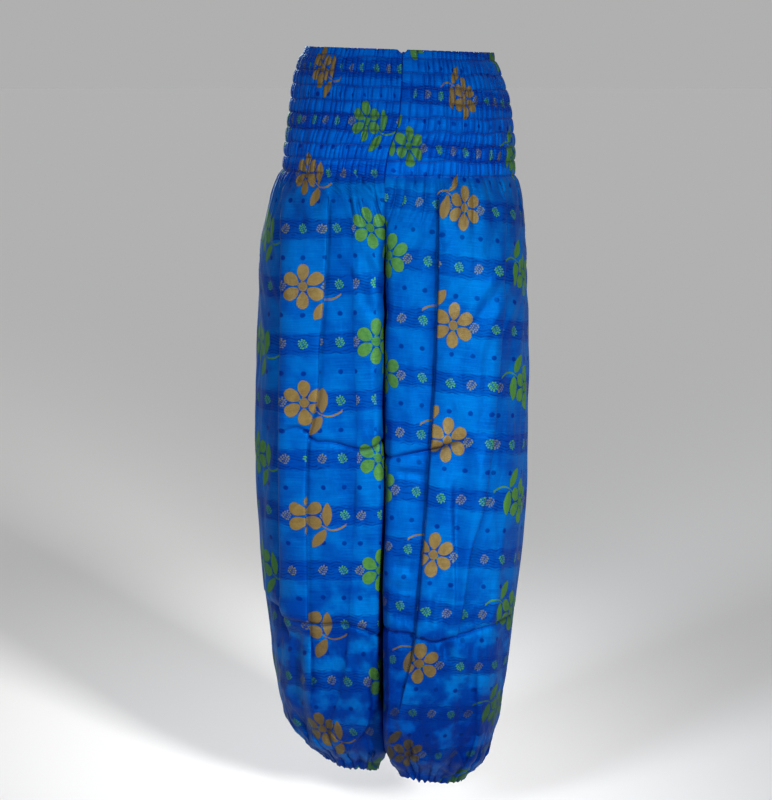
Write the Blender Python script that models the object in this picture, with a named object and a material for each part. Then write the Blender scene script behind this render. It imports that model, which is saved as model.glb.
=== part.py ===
"""Harem pants with a smocked waist and elastic ankles, in the pose they take when worn.

Blender 4.5, metres, +Z up. The origin is the centre of the waist opening, where the wearer holds the
garment up; the cloth hangs down along -Z, the front faces -Y and the wearer's left is +X.
Four panels are cut: a front and a back for each leg. Each runs in one piece from the waist edge, through
nine shirring rows, down to the elastic casing at the ankle. It is two solids here, a top and a leg, which
part on a level line below the crotch.
"""

import math

import bmesh
import bpy
import numpy as np

# Cloth and seams
WALL = 0.0020  # thickness of the cloth wall
SEAM_GAP = 0.0003  # clear space between two panels at a seam

# Heights, as a drop below the waist edge
HEM_STITCH = 0.0110  # first shirring row, under the turned top hem
ROW_PITCH = 0.0188  # from one shirring row to the next
ROW_COUNT = 9
SMOCK_END = HEM_STITCH + ROW_PITCH * (ROW_COUNT - 1)
CROTCH = 0.400
PARTING = 0.520  # the top solid of each panel ends here and its leg solid begins
ANKLE_START = 0.860  # the legs begin to draw in here
CASING_TOP = 0.981  # the ankle elastic runs in a casing from here down to the hem
HEM = 0.993
HIP_RINGS = (0.174, 0.198, 0.234, 0.282, 0.340, CROTCH, 0.460, PARTING - SEAM_GAP / 2)
LEG_RINGS = (PARTING + SEAM_GAP / 2, 0.620, 0.725, 0.795, 0.850, 0.893, 0.927, 0.952, 0.969, CASING_TOP, HEM)

# Gathers: each is a ridge and a valley, so it takes two columns of points
COLUMNS = 34
GATHER_HEIGHT = 0.0036  # how far a gather stands out midway between two shirring rows
ROW_HEIGHT = 0.0010  # how far it stands out on a shirring row
HEM_HEIGHT = 0.0022  # the same, in the turned top hem
RELEASE_LENGTH = 0.060  # over which the gathers open out below the last row
ANKLE_HEIGHT = 0.0040  # gathers at the ankle elastic
ANKLE_LENGTH = 0.050  # over which they fade upwards

# Cross-section shape
OUTER_POWER = 2.25  # superellipse power of the outer half of a section
INNER_POWER = 4.5  # squarer, because the legs press together on the inside
STAGGER = 0.018  # the left leg hangs this far forward at the ankle, the right leg this far back
LEFT_LIFT = 0.005  # and the left leg's hem rides this much higher

# One row for each section of the garment: x of its right side, of the centre line and of its left side,
# half of the space between the legs, y of its front and back, and how much lower the left side of the
# ring lies than the right, in metres a metre.
SECTION_COLUMNS = ("drop", "right_x", "centre_x", "left_x", "apart", "front_y", "back_y", "slope")
SECTIONS = (
    (0.000, -0.1215, 0.0040, 0.1235, 0.0000, -0.0920, 0.0880, 0.034),
    (0.012, -0.1290, 0.0035, 0.1270, 0.0000, -0.0950, 0.0905, 0.034),
    (0.030, -0.1360, 0.0030, 0.1345, 0.0000, -0.0990, 0.0950, 0.033),
    (0.070, -0.1430, 0.0010, 0.1465, 0.0000, -0.1050, 0.1020, 0.030),
    (0.100, -0.1475, -0.0030, 0.1505, 0.0000, -0.1080, 0.1070, 0.028),
    (0.128, -0.1510, -0.0130, 0.1530, 0.0000, -0.1100, 0.1120, 0.026),
    (0.162, -0.1550, -0.0190, 0.1540, 0.0000, -0.1130, 0.1180, 0.025),
    (0.186, -0.1650, -0.0195, 0.1600, 0.0000, -0.1190, 0.1240, 0.022),
    (0.213, -0.1735, -0.0195, 0.1645, 0.0000, -0.1225, 0.1275, 0.019),
    (0.253, -0.1840, -0.0195, 0.1690, 0.0000, -0.1260, 0.1320, 0.014),
    (0.335, -0.1895, -0.0195, 0.1730, 0.0000, -0.1280, 0.1340, 0.006),
    (CROTCH, -0.1920, -0.0195, 0.1745, 0.0000, -0.1250, 0.1280, 0.002),
    (0.500, -0.1955, -0.0198, 0.1748, 0.0003, -0.1200, 0.1170, 0.000),
    (0.612, -0.1940, -0.0205, 0.1715, 0.0004, -0.1140, 0.1090, 0.000),
    (0.725, -0.1860, -0.0215, 0.1620, 0.0006, -0.1090, 0.1060, 0.000),
    (0.810, -0.1770, -0.0215, 0.1530, 0.0006, -0.1050, 0.1050, 0.008),
    (0.860, -0.1715, -0.0205, 0.1455, 0.0005, -0.1010, 0.1010, 0.030),
    (0.905, -0.1640, -0.0195, 0.1350, 0.0005, -0.0940, 0.0940, 0.065),
    (0.935, -0.1535, -0.0180, 0.1255, 0.0008, -0.0830, 0.0830, 0.090),
    (0.955, -0.1395, -0.0155, 0.1180, 0.0035, -0.0710, 0.0710, 0.105),
    (0.970, -0.1290, -0.0145, 0.1080, 0.0080, -0.0590, 0.0590, 0.115),
    (CASING_TOP, -0.1085, -0.0135, 0.0935, 0.0145, -0.0465, 0.0465, 0.120),
    (HEM, -0.1080, -0.0135, 0.0910, 0.0165, -0.0450, 0.0450, 0.120),
)

# The largest folds. Each runs down a panel from x_top to x_end, and "bow" is how far the middle of its
# line lies to +X of a straight one. A tuck steps outwards across its line on the way to the side seam, or
# inwards if its depth is negative; a roll is a rounded ridge, or a valley if its depth is negative.
FOLD_COLUMNS = ("panel", "shape", "x_top", "x_end", "bow", "drop_top", "drop_end", "width", "depth")
FOLDS = (
    ("left_front", "tuck", 0.053, 0.021, 0.009, 0.16, 0.92, 0.036, 0.0065),
    ("left_front", "tuck", 0.136, 0.131, 0.000, 0.16, 0.50, 0.026, -0.0045),
    ("left_front", "roll", 0.073, 0.075, 0.000, 0.50, 0.84, 0.012, -0.0035),
    ("left_front", "roll", 0.106, 0.072, 0.009, 0.80, 0.99, 0.012, 0.0060),
    ("left_front", "roll", 0.092, 0.058, 0.009, 0.80, 0.99, 0.012, -0.0050),
    ("left_front", "roll", 0.010, 0.017, 0.000, 0.87, 0.99, 0.010, -0.0070),
    ("right_front", "tuck", -0.149, -0.155, 0.000, 0.17, 0.80, 0.026, -0.0065),
    ("right_front", "tuck", -0.094, -0.096, 0.000, 0.19, 0.52, 0.022, -0.0030),
    ("right_front", "roll", -0.121, -0.126, 0.000, 0.44, 0.84, 0.010, -0.0050),
    ("right_front", "roll", -0.062, -0.057, 0.000, 0.17, 0.82, 0.010, -0.0035),
    ("right_front", "roll", -0.144, -0.136, 0.000, 0.76, 0.96, 0.013, -0.0065),
    ("right_front", "roll", -0.093, -0.094, 0.000, 0.85, 0.99, 0.011, -0.0080),
    ("right_front", "roll", -0.034, -0.066, 0.010, 0.80, 0.96, 0.011, -0.0060),
    ("left_back", "tuck", 0.046, 0.036, -0.006, 0.16, 0.88, 0.034, 0.0050),
    ("left_back", "roll", 0.092, 0.084, 0.004, 0.17, 0.72, 0.012, -0.0045),
    ("left_back", "tuck", 0.140, 0.134, 0.000, 0.16, 0.62, 0.026, -0.0045),
    ("left_back", "roll", 0.108, 0.078, 0.008, 0.72, 0.99, 0.012, -0.0065),
    ("left_back", "roll", 0.022, 0.030, 0.000, 0.84, 0.99, 0.010, -0.0060),
    ("right_back", "tuck", -0.100, -0.082, 0.006, 0.16, 0.84, 0.034, 0.0050),
    ("right_back", "roll", -0.058, -0.066, -0.004, 0.18, 0.68, 0.011, -0.0040),
    ("right_back", "tuck", -0.152, -0.156, 0.000, 0.18, 0.70, 0.026, -0.0050),
    ("right_back", "roll", -0.128, -0.096, -0.006, 0.74, 0.99, 0.013, -0.0070),
    ("right_back", "roll", -0.048, -0.060, 0.000, 0.80, 0.99, 0.010, -0.0055),
)
TUCK_EDGE = 0.007  # half the width of a tuck's steep step
FOLD_FADE = 0.050  # how far along its length a fold takes to reach full depth
SEAM_FADE = 0.022  # folds die out this far from a seam
CREVICE_FADE = 0.075  # and this far round the inside of a leg

# name, side (+1 is the wearer's left), half (-1 is the front)
PANELS = (("left_front", 1, -1), ("left_back", 1, 1), ("right_front", -1, -1), ("right_back", -1, 1))
CLOTH_COLOUR = (0.012, 0.115, 0.560, 1.0)
CLOTH_ROUGHNESS = 0.45
CONTOUR_SAMPLES = 160  # points on each half of a section before it is divided into columns
NEARLY_ONE = 0.9998  # keeps the crevice's first angle just short of a right angle where there is none


def smooth(value, low, high):
    """0 below low, 1 above high, and an easy curve between."""
    t = np.clip((value - low) / (high - low), 0.0, 1.0)
    return t * t * (3 - 2 * t)


def section(drop):
    """The section table read at any drop, on a smooth curve through its rows."""
    table = np.array(SECTIONS)
    drops = table[:, 0]
    slopes = np.gradient(table, drops, axis=0)
    k = int(np.clip(np.searchsorted(drops, drop) - 1, 0, len(drops) - 2))
    span = drops[k + 1] - drops[k]
    t = (drop - drops[k]) / span
    row = (
        (1 + 2 * t) * (1 - t) ** 2 * table[k]
        + t * (1 - t) ** 2 * span * slopes[k]
        + t * t * (3 - 2 * t) * table[k + 1]
        + t * t * (t - 1) * span * slopes[k + 1]
    )
    return dict(zip(SECTION_COLUMNS, row))


def contour(side, half, drop):
    """One panel's line round a section: its points in x and y, from the centre edge to the side seam."""
    at = section(drop)
    outer = at["left_x"] if side > 0 else at["right_x"]
    stagger = -side * STAGGER * smooth(drop, CROTCH, CASING_TOP)
    middle = (at["front_y"] + at["back_y"]) / 2 + stagger
    depth = (at["back_y"] - at["front_y"]) / 2
    inner = at["centre_x"] + side * (at["apart"] + SEAM_GAP / 2)
    lobe = smooth(drop, SMOCK_END, CROTCH - 0.10)
    crest = inner + lobe * (outer - inner) / 2

    # From the centre edge, forward (or back) through the crevice between the legs, to the crest
    crevice = smooth(drop, SMOCK_END, CROTCH)
    start = math.asin(min((1 - crevice) ** (INNER_POWER / 2), NEARLY_ONE))
    turn = np.linspace(start, math.pi / 2, CONTOUR_SAMPLES)
    x_in = crest - (crest - inner) * (np.cos(turn) / math.cos(start)) ** (2 / INNER_POWER)
    y_in = middle + half * depth * np.sin(turn) ** (2 / INNER_POWER)
    # From the crest round to the side seam
    turn = np.linspace(math.pi / 2, 0, CONTOUR_SAMPLES)[1:]
    x_out = crest + (outer - crest) * np.abs(np.cos(turn)) ** (2 / OUTER_POWER)
    y_out = middle + half * depth * np.abs(np.sin(turn)) ** (2 / OUTER_POWER)
    return np.concatenate([x_in, x_out]), np.concatenate([y_in, y_out])


def outward(x, y, side, half):
    """Unit vectors that point out of the garment, at each point of a panel's line round a section."""
    tx, ty = np.gradient(x), np.gradient(y)
    size = np.hypot(tx, ty)
    return -side * half * ty / size, side * half * tx / size


def fold_height(panel, side, x, run, drop):
    """How far the panel's folds push the cloth out at each column of a ring.

    x is each column's place across the garment and run is its distance along the ring.
    """
    height = np.zeros_like(run)
    for values in FOLDS:
        fold = dict(zip(FOLD_COLUMNS, values))
        if fold["panel"] != panel or not fold["drop_top"] < drop < fold["drop_end"]:
            continue
        t = (drop - fold["drop_top"]) / (fold["drop_end"] - fold["drop_top"])
        line_x = fold["x_top"] + t * (fold["x_end"] - fold["x_top"]) + 4 * t * (1 - t) * fold["bow"]
        away = run - np.interp(side * line_x, side * x, run)
        if fold["shape"] == "tuck":
            shape = np.tanh(away / TUCK_EDGE) * np.exp(-np.abs(away) / fold["width"])
        else:
            shape = np.exp(-((away / fold["width"]) ** 2))
        fade = smooth(drop, fold["drop_top"], fold["drop_top"] + FOLD_FADE)
        fade *= 1 - smooth(drop, fold["drop_end"] - FOLD_FADE, fold["drop_end"])
        height += fold["depth"] * fade * shape
    crevice = smooth(drop, SMOCK_END, CROTCH)
    near_centre = smooth(run, 0, SEAM_FADE + (CREVICE_FADE - SEAM_FADE) * crevice)
    return height * near_centre * smooth(run[-1] - run, 0, SEAM_FADE)


def gather_height(drop):
    """How far a gather's ridge stands out over its valley."""
    if drop < HEM_STITCH:
        return HEM_HEIGHT
    if drop <= SMOCK_END:
        between_rows = math.sin(math.pi * (drop - HEM_STITCH) / ROW_PITCH) ** 2
        return ROW_HEIGHT + (GATHER_HEIGHT - ROW_HEIGHT) * between_rows
    release = 1 - smooth(drop, SMOCK_END, SMOCK_END + RELEASE_LENGTH)
    ankle = smooth(drop, CASING_TOP - ANKLE_LENGTH, CASING_TOP)
    return GATHER_HEIGHT * float(release) + ANKLE_HEIGHT * float(ankle)


def ring(panel, side, half, drop):
    """The outer and inner points of a panel at one drop, a row of COLUMNS + 1 points each."""
    x, y = contour(side, half, drop)
    out_x, out_y = outward(x, y, side, half)
    length = np.concatenate([[0], np.cumsum(np.hypot(np.diff(x), np.diff(y)))])
    run = np.linspace(SEAM_GAP / 2, length[-1] - SEAM_GAP / 2, COLUMNS + 1)
    x, y, out_x, out_y = (np.interp(run, length, line) for line in (x, y, out_x, out_y))
    z = -drop - section(drop)["slope"] * x
    if side > 0:
        z = z + LEFT_LIFT * smooth(drop, ANKLE_START, HEM)

    folds = fold_height(panel, side, x, run, drop)
    x, y = x + out_x * folds, y + out_y * folds
    wall_x, wall_y = outward(x, y, side, half)
    for seam in (0, -1):
        wall_x[seam], wall_y[seam] = out_x[seam], out_y[seam]
    ridges = gather_height(drop) * (np.arange(COLUMNS + 1) % 2)

    def moved(offset):
        return np.stack([x + wall_x * offset, y + wall_y * offset, z], axis=1)

    return moved(ridges), moved(-WALL)


def shirring_rows():
    """Drops of the lines of elastic stitching."""
    return [HEM_STITCH + ROW_PITCH * k for k in range(ROW_COUNT)]


def outer_top_rings():
    """Drops of a top's outer rings: the turned hem, every shirring row, midway between rows, and the hips."""
    rows = shirring_rows()
    middles = [drop + ROW_PITCH / 2 for drop in rows[:-1]]
    return [0.0, HEM_STITCH / 2, *sorted(rows + middles), *HIP_RINGS]


def inner_top_rings():
    """The inside of the smocking is plain, so every second row is enough there."""
    return [0.0, *shirring_rows()[::2], *HIP_RINGS]


def add_grid(bm, rows):
    """Vertices and quads for a list of rings; returns the vertices, one list for each ring."""
    grid = [[bm.verts.new(p) for p in points] for points in rows]
    for upper, lower in zip(grid, grid[1:]):
        for j in range(COLUMNS):
            bm.faces.new((upper[j], upper[j + 1], lower[j + 1], lower[j]))
    return grid


def close_rim(bm, outer, inner):
    """Fills the edge of the wall between two lines of vertices, which may differ in number."""
    i = k = 0
    while i < len(outer) - 1 or k < len(inner) - 1:
        next_outer = outer[i + 1].co.z if i < len(outer) - 1 else -math.inf
        next_inner = inner[k + 1].co.z if k < len(inner) - 1 else -math.inf
        if abs(next_outer - next_inner) < WALL:
            bm.faces.new((outer[i], outer[i + 1], inner[k + 1], inner[k]))
            i, k = i + 1, k + 1
        elif next_outer > next_inner:
            bm.faces.new((outer[i], outer[i + 1], inner[k]))
            i += 1
        else:
            bm.faces.new((outer[i], inner[k + 1], inner[k]))
            k += 1


def make_length(node, panel, side, half, outer_drops, inner_drops):
    """One length of a panel, as a closed wall between its outer and its inner rings."""
    bm = bmesh.new()
    outer = add_grid(bm, [ring(panel, side, half, drop)[0] for drop in outer_drops])
    inner = add_grid(bm, [ring(panel, side, half, drop)[1] for drop in inner_drops])
    for column in (0, COLUMNS):
        close_rim(bm, [row[column] for row in outer], [row[column] for row in inner])
    for end in (0, -1):
        for j in range(COLUMNS):
            bm.faces.new((outer[end][j], outer[end][j + 1], inner[end][j + 1], inner[end][j]))
    bmesh.ops.recalc_face_normals(bm, faces=bm.faces)
    bmesh.ops.triangulate(bm, faces=bm.faces)
    mesh = bpy.data.meshes.new(node)
    bm.to_mesh(mesh)
    bm.free()
    mesh.shade_smooth()
    mesh.materials.append(cloth_material(node))
    length = bpy.data.objects.new(node, mesh)
    bpy.context.scene.collection.objects.link(length)
    return length


def cloth_material(name):
    """The panel's own material, in the ground colour of the print."""
    material = bpy.data.materials.new(name + "_cloth")
    material.use_nodes = True
    shader = material.node_tree.nodes["Principled BSDF"]
    shader.inputs["Base Color"].default_value = CLOTH_COLOUR
    shader.inputs["Roughness"].default_value = CLOTH_ROUGHNESS
    shader.inputs["Metallic"].default_value = 0.0
    return material


def main():
    for old in list(bpy.data.objects):
        bpy.data.objects.remove(old)
    waist = bpy.data.objects.new("waist", None)
    bpy.context.scene.collection.objects.link(waist)
    for panel, side, half in PANELS:
        top = make_length(panel + "_top", panel, side, half, outer_top_rings(), inner_top_rings())
        leg = make_length(panel + "_leg", panel, side, half, LEG_RINGS, LEG_RINGS)
        top.parent = leg.parent = waist


main()
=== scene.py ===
import math

import bpy
import numpy as np
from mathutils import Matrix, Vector


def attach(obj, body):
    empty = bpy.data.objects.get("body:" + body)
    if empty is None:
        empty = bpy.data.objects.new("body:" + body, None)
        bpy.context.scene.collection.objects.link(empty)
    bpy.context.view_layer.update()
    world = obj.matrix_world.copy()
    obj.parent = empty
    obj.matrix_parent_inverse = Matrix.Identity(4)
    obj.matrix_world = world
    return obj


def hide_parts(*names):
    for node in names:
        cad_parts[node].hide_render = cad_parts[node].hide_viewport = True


# Harem pants in printed satin: four panels, smocked at the waist and gathered at the ankles. +Z is up, "drop"
# is how far below the waist edge and "run" how far along a panel from its centre seam to its side seam.

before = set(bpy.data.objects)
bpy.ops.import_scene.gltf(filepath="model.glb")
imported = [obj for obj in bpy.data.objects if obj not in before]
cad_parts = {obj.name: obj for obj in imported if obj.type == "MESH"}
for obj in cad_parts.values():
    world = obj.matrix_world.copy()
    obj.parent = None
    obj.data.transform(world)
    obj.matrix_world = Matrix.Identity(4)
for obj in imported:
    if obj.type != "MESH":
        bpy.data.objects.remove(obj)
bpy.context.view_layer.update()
print("frame loaded")


def metres(table):  # from millimetres
    if isinstance(table, dict):
        return {key: metres(value) for key, value in table.items()}
    return tuple(metres(value) for value in table) if isinstance(table, tuple) else table / 1000


def named(columns, tables):
    return {panel: [dict(zip(columns, row)) for row in rows] for panel, rows in metres(tables).items()}


crotch = 0.400
hem = 0.993

smocking = {
    "firstRow": 0.0110,  # of elastic thread, at the end of the turned hem
    "pitch": 0.0188,
    "rows": 9,
    "puffs": 27,
    "height": 0.0032,
    "rowHeight": 0.0009,  # of the puffs on a line of elastic
    "inset": 0.0006,
    "insetEnds": (0.004, 0.020),
    "brink": 0.0009,  # the puffs change places this far from a line of elastic
    "hemHeight": 0.0027,
    "hemPower": 0.8,  # the lower, the steeper the puffs rise from a row
    "rowPower": 0.36,
    "wobble": 0.0011,
    "wobbleLength": 0.30,
    "edgeWobble": 0.0010,
    "spread": 0.26,  # of creases from row to row, and in a row, in puffs
    "jitter": 0.045,
    "uneven": 0.38,
    "openings": (0.008, 0.022, 0.045, 0.075),
    "release": 0.125,  # the gathers open out to this far below the last row
    "softened": 0.07,
    "life": (0.012, 0.95, 1.3),  # least, most and power of the share of that which each crease lasts
    "looseHeight": 0.0048,
    "creaseShade": (0.25, 0.85),
    "rowShade": 0.65,
    "rowWidth": 0.0007,
}
shirring = smocking["firstRow"] + smocking["pitch"] * np.arange(smocking["rows"])
smockEnd = shirring[-1]

cuff = {
    "gathers": 19,
    "start": 0.860,
    "top": 0.981,  # of the casing
    "height": 0.0050,
    "stitchHeight": 0.0034,
    "stitchReach": 0.007,
    "softened": (0.01, 0.05),
    "wobble": 0.0014,
    "wobbleLength": 0.045,
    "spread": 0.14,
    "uneven": 0.62,
    "levels": (0.850, 0.880, 0.905, 0.925, 0.943, 0.958, 0.971, 0.981, 0.987, 0.993),
    "life": (0.016, 0.105, 1.5),  # of a crease: least, what is added at most, and power
    "stitchWidth": 0.0018,
    "stitchInset": 0.0004,
    "stitchShade": 0.4,
    "rise": {1: (0.0080, 0.0030), -1: (0.0020, 0.0090)},  # how far each hem lifts, inside and outside
}

gather = {
    "widened": 1.45,
    "room": 0.44,
    "flatShare": 0.16,
    "flat": (0.45, 0.9),
    "sharp": (0, 0.2),
    "tall": (0.7, 1.15),
    "atSeams": (0.4, 0.9),  # shallow and tall, so that the panels meet
    "archPower": 3.4,
    "creasePower": 7,
    "drawnPower": 12,
    "drawnSoft": 0.7,
}

cloth = {
    "thickness": 0.0008,
    "columns": 240,  # every second one ends where the gathers do
    "rowSteps": (0, 0.05, 0.14, 0.30, 0.50, 0.70, 0.86, 0.95),  # rings, from row to row of elastic
    "hemRings": 5,
    "casingRings": 7,
    "legStep": 0.0064,
    "creaseStep": 0.0014,
    "creaseGrowth": (0.005, 0.25),
    "ankleStep": 0.0024,
    "growth": 0.06,
    "fineTo": 0.228,  # all columns run to here
    "fineFrom": 0.905,  # and from here to the hem
    "held": (-0.005, 0.035, 0.93, 0.975),  # where columns follow tucks
    "band": 0.0046,  # columns this far from a tuck follow it too
    "bandColumns": 10,
    "leave": 0.06,
}

seam = {
    "gap": 0.00004,
    "fade": 0.020,  # each fold dies out this far from it
    "creviceFade": 0.075,  # and from an inseam
    "dip": (0.0001, 0.0006),  # in the smocking, and more in the legs
    "dipWidth": 0.0022,
    "notch": 0.0062,  # in the top edge, at the centre seam
    "notchShare": 0.0042 / 0.172,  # its half-width, and the panel's at the waist
}

section = {
    "outerPower": 2.25,
    "innerPower": 14.0,
    "stagger": 0.018,
    "leftLift": 0.005,
    "rings": 332,
    "across": 260,
    "samples": 200,
    "nearlyOne": 0.9998,
    "hollow": (0.0045, 0.035, 0.055),  # how far the facing walls lean over, and its spread in x and y
}

# drop, x of the right side, centre and left side, half of the space between the legs, y of the front and back,
# and how much lower the left side lies than the right, in millimetres a metre
sections = np.array(metres((
    (0, -121.5, 4, 123.5, 0, -92, 88, 34),
    (12, -129, 3.5, 127, 0, -95, 90.5, 34),
    (30, -136, 3, 134.5, 0, -99, 95, 33),
    (70, -143, 1, 146.5, 0, -105, 102, 30),
    (100, -147.5, -3, 150.5, 0, -108, 107, 28),
    (128, -151, -13, 153, 0, -110, 112, 26),
    (162, -155, -19, 154, 0, -113, 118, 25),
    (186, -165, -19.5, 160, 0, -119, 124, 22),
    (213, -173.5, -19.5, 164.5, 0, -122.5, 127.5, 19),
    (253, -184, -19.5, 169, 0, -126, 132, 14),
    (335, -189.5, -19.5, 173, 0, -128, 134, 6),
    (400, -192, -19.5, 174.5, 0, -125, 128, 2),
    (500, -195.5, -19.8, 174.8, 0.3, -120, 117, 0),
    (612, -194, -20.5, 171.5, 0.4, -114, 109, 0),
    (725, -186, -21.5, 162, 0.6, -109, 106, 0),
    (810, -177, -21.5, 153, 0.6, -103, 104, 8),
    (860, -171.5, -20.5, 145.5, 0.5, -96.5, 98.5, 30),
    (905, -164, -19.5, 135, 0.5, -87.5, 90, 65),
    (935, -153.5, -18, 125.5, 0.8, -77, 79, 90),
    (955, -139.5, -15.5, 118, 3.5, -71, 71, 105),
    (970, -126.5, -14.5, 106.5, 8.5, -58, 58, 115),
    (981, -113.5, -13.5, 96.5, 13.5, -49, 49, 120),
    (993, -105, -13.5, 88.5, 17.5, -43, 43, 120),
)))

# Each fold's line has (drop, x) points. A tuck steps out across its line on the way to the side seam, or in if
# its height is negative. lap is how far its lip hangs over, and hidden the cloth inside it at each drop.
tucks = named(("height", "edge", "near", "far", "lap", "hidden", "line"), {"rightFront": (
    (-8.5, 3.6, 34, 18, 5, ((170, 16), (260, 44), (700, 42), (800, 0)), ((162, -148.5), (320, -151), (480, -154.5),
     (615, -156), (725, -155), (800, -150))),
    (6.2, 3.2, 16, 28, 4.4, ((170, 3), (300, 8), (460, 8), (550, 9), (610, 7), (660, 12), (700, 20), (745, 30),
     (785, 30), (890, 0)), ((165, -89), (243, -93.8), (321, -99.2), (387, -104.8), (453, -108.5), (502, -120),
     (547, -122.9), (669, -122.4), (738, -121.6), (800, -119), (895, -119))),
    (-3, 6.2, 20, 18, 0.4, ((160, 4), (340, 8), (480, 9), (620, 6), (970, 4)), ((160, -61.5), (269, -60.2),
     (387, -59.2), (480, -55.6), (588, -57.2), (683, -62.8), (780, -68.4), (851, -76.7), (903, -89.3),
     (975, -94.5))),
    (5.2, 5, 16, 26, 2, (), ((815, -36), (851, -37.8), (885, -37.2), (919, -43.8), (944, -60), (975, -74))),
), "leftFront": (
    (7.2, 4.6, 26, 46, 3.6, ((160, 5), (250, 12), (420, 18), (560, 22), (800, 18), (890, 0)), ((160, 49.5),
     (321, 49.8), (413, 47), (506, 42), (560, 38.5), (669, 30.5), (752, 23.5), (794, 19), (851, 6), (895, -3))),
    (-6, 3.8, 30, 22, 4.6, ((170, 4), (280, 12), (660, 12), (790, 0)), ((162, 136), (250, 135), (360, 133.1),
     (432, 127.3), (506, 122.8), (547, 116.6), (588, 111.7), (658, 93.8), (731, 83.7), (790, 74))),
    (-3, 2.6, 10, 12, 2, (), ((545, 69), (600, 70.5), (669, 73.5), (725, 74), (790, 65))),
    (6, 4.8, 22, 24, 3, (), ((800, 105), (854, 104.8), (916, 101.8), (954, 89.1), (1010, 66))),
), "leftBack": (
    (6, 4, 22, 36, 4, ((160, 4), (280, 20), (760, 20), (880, 0)), ((160, 46), (340, 41), (520, 33), (700, 32),
     (880, 36))),
    (-5.5, 4.2, 28, 24, 4, ((160, 4), (280, 14), (520, 14), (620, 0)), ((160, 140), (320, 138), (480, 135.5),
     (620, 134))),
), "rightBack": (
    (6, 4, 22, 36, 4, ((160, 4), (280, 22), (720, 22), (840, 0)), ((160, -100), (330, -92), (500, -85), (680, -82),
     (840, -82))),
    (-5.8, 4.2, 28, 22, 4.2, ((170, 4), (290, 16), (600, 16), (700, 0)), ((170, -152), (350, -153.5), (530, -155),
     (700, -156))),
)})

# Rounded ridges and valleys
rolls = named(("height", "edge", "line"), {"rightFront": (
    (-2.2, 5, ((168, -122.1), (262, -122.2))),
    (-1.6, 6, ((235, -38.5), (300, -44), (350, -50))),
    (-6, 13, ((755, -144), (830, -139), (900, -136.5), (970, -118))),
    (3.2, 10, ((780, -127), (860, -123.5), (950, -113))),
    (-7.5, 7, ((925, -50), (960, -53), (1020, -53))),
    (-5, 8, ((860, -101), (930, -99), (1020, -93))),
), "leftFront": (
    (-1.4, 6, ((170, 96), (320, 98.5))),
    (4.2, 7.5, ((835, 1.5), (866, -1.8), (904, 4.8), (930, 20), (985, 26))),
    (-6, 7.5, ((905, 15), (940, 17), (1020, 19))),
    (-3.8, 10, ((800, 90), (870, 86), (930, 78), (990, 60))),
    (2.6, 10, ((850, 56), (910, 52), (985, 45))),
), "leftBack": (
    (-4.5, 9.5, ((170, 92), (450, 92), (720, 84))),
    (-6.5, 11, ((720, 108), (860, 101), (990, 78))),
    (-6, 10, ((840, 22), (930, 27), (1020, 30))),
    (3.6, 10, ((820, 62), (900, 60), (990, 52))),
    (-1.6, 6, ((200, 68), (380, 64))),
), "rightBack": (
    (-4.2, 9.5, ((180, -58), (430, -66), (680, -66))),
    (-6.8, 11, ((740, -128), (860, -118), (990, -96))),
    (-5.5, 10, ((800, -48), (900, -55), (1020, -60))),
    (3.4, 10, ((830, -85), (910, -82), (990, -76))),
    (-1.6, 6, ((190, -126), (340, -129))),
)})

# The creases left by folding the trousers up, with (x, drop, step, valley) points. rings is the drop of the rings
# that lie along one, and above and below say how far its step reaches. calm is what is gone at the side seam, in
# thousandths.
creases = named(("rings", "width", "above", "below", "calm", "line"), {"rightFront": (
    (512, 2.6, 14, 30, 1000, ((-200, 496, 0, 0), (-155, 496, 0.4, 0.8), (-122.5, 495.5, 1.4, 4),
     (-118.5, 502, 1.4, 4.4), (-91, 509.5, 1.2, 4.4), (-41.2, 519, 1.4, 5), (-18.9, 510, 1.2, 4))),
    (766, 2.8, 22, 140, 850, ((-200, 733, 2.1, 2), (-172, 745, 2.7, 3), (-155, 754, 3.5, 3.6),
     (-125.7, 759, 3.1, 4.4), (-112, 763, 0.6, 5), (-79, 762, 0.4, 5), (-55, 766, 0.4, 5), (-27, 779, 1.9, 4.4))),
), "leftFront": (
    (512, 2.6, 16, 34, 1000, ((-15, 531, 2, 3.6), (13.9, 525.5, 2.6, 5), (42.8, 520, 3.6, 7.4), (53.3, 516, 3.6, 8),
     (69, 511, 1.2, 4.8), (90, 506, 0.2, 1), (180, 510, 0, 0))),
    (766, 2.8, 22, 150, 1000, ((-21.6, 766, 2.9, 3.4), (7.8, 768, 3.1, 3.6), (27.8, 774, 3.5, 4.4),
     (50.6, 779, 3.1, 5), (67.9, 774, 1.5, 5), (101.3, 766, 1, 5), (146.6, 758, 0.9, 4), (180, 754, 0.6, 2))),
), "leftBack": (
    (512, 2.6, 14, 30, 1000, ((-20, 520, 1.2, 3.6), (60, 514, 1.2, 4.4), (120, 503, 1, 3), (180, 510, 0, 0))),
    (766, 2.8, 22, 140, 1000, ((-20, 772, 2.9, 3.6), (50, 766, 2.9, 4.4), (110, 760, 1.5, 4), (180, 754, 0.6, 2))),
), "rightBack": (
    (512, 2.6, 14, 30, 1000, ((-200, 496, 0, 0), (-140, 504, 1, 3), (-80, 506, 1.2, 4.4), (-20, 516, 1.2, 3.6))),
    (766, 2.8, 24, 140, 850, ((-200, 733, 2.1, 2), (-140, 756, 3.3, 4.4), (-80, 770, 2.2, 4.4),
     (-20, 768, 1.9, 3.6))),
)})

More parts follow.
